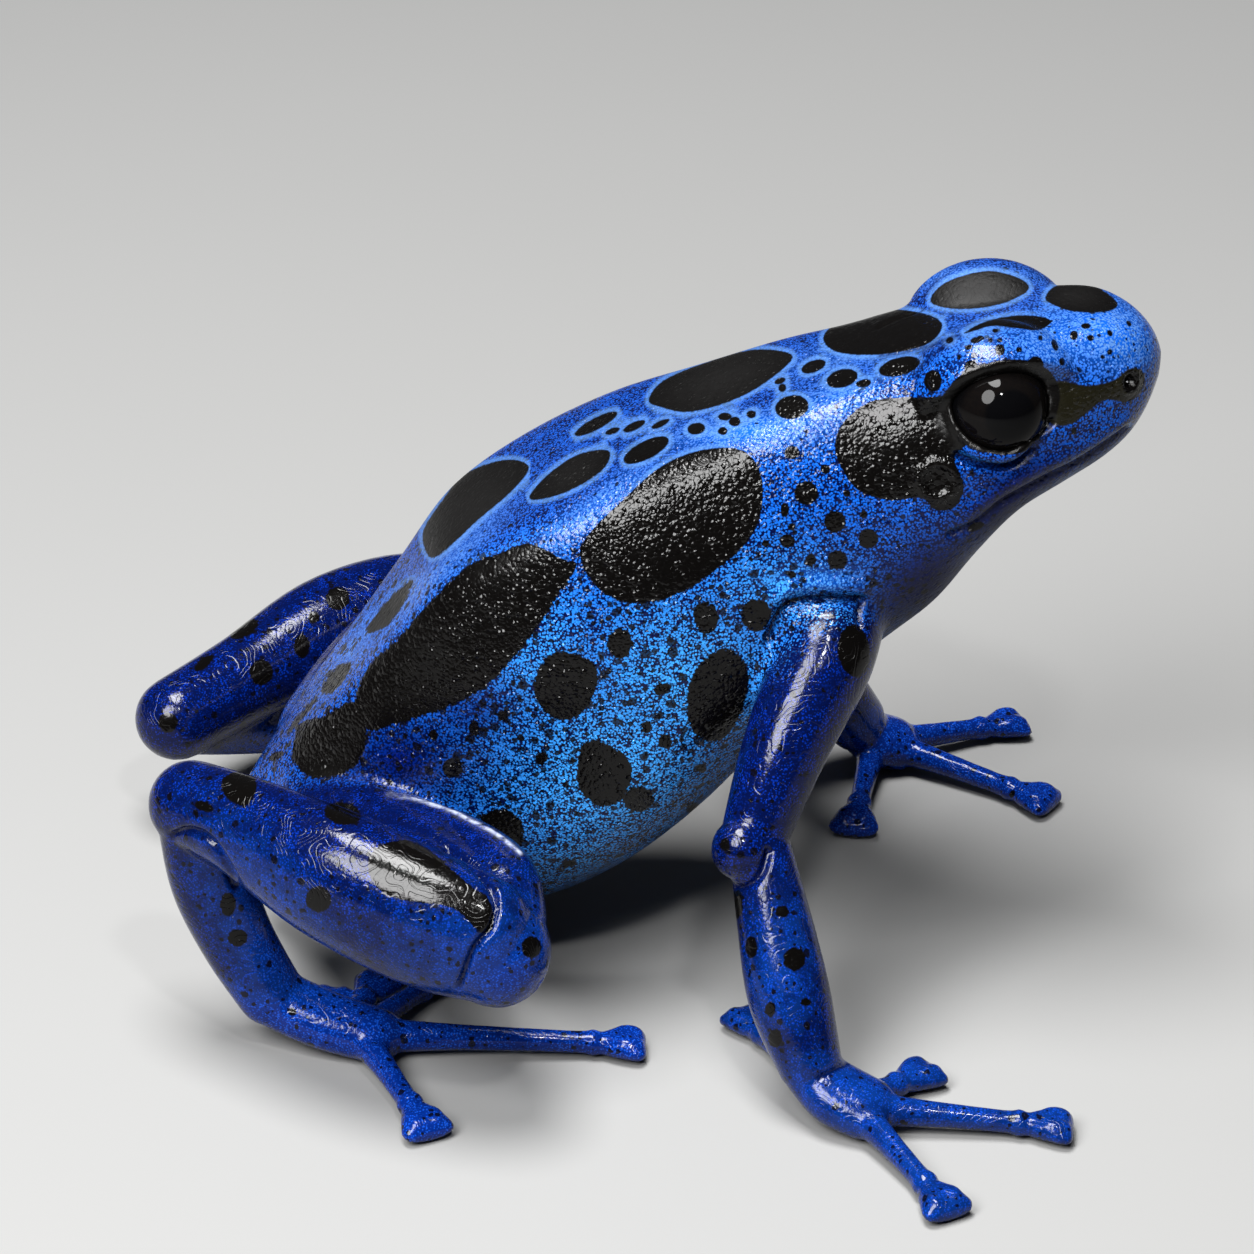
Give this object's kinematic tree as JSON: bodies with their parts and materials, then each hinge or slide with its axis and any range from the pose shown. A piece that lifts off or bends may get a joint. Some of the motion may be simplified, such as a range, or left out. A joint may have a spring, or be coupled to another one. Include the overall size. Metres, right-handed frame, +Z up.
{
  "type": "poison dart frog",
  "caption": "Still model of a blue poison dart frog sitting propped up on straight forelimbs, hind limbs folded beside a plump body, disc-tipped digits flat on the floor.",
  "frame": {"origin": "on the floor, under the middle of the model's bounding box", "axes": "+X the way the frog faces, +Y to its left, +Z up from the floor"},
  "size_m": [0.0436, 0.0468, 0.0298],
  "materials": {
    "skin_blue": "moist glossy skin, azure blue with black spots",
    "limb_blue": "moist glossy skin, deep ultramarine with small black spots",
    "eye_black": "wet black eyeball"
  },
  "bodies": {
    "root": {"trunk": "skin_blue", "head": "skin_blue", "eye_R": "eye_black", "eye_L": "eye_black", "upper_arm_R": "limb_blue", "forearm_R": "limb_blue", "palm_R": "limb_blue", "finger_R1": "limb_blue", "finger_R2": "limb_blue", "finger_R3": "limb_blue", "finger_R4": "limb_blue", "thigh_R": "limb_blue", "shank_R": "limb_blue", "tarsus_R": "limb_blue", "sole_R": "limb_blue", "toe_R1": "limb_blue", "toe_R2": "limb_blue", "toe_R3": "limb_blue", "toe_R4": "limb_blue", "toe_R5": "limb_blue", "upper_arm_L": "limb_blue", "forearm_L": "limb_blue", "palm_L": "limb_blue", "finger_L1": "limb_blue", "finger_L2": "limb_blue", "finger_L3": "limb_blue", "finger_L4": "limb_blue", "thigh_L": "limb_blue", "shank_L": "limb_blue", "tarsus_L": "limb_blue", "sole_L": "limb_blue", "toe_L1": "limb_blue", "toe_L2": "limb_blue", "toe_L3": "limb_blue", "toe_L4": "limb_blue", "toe_L5": "limb_blue"}
  },
  "joints": []
}
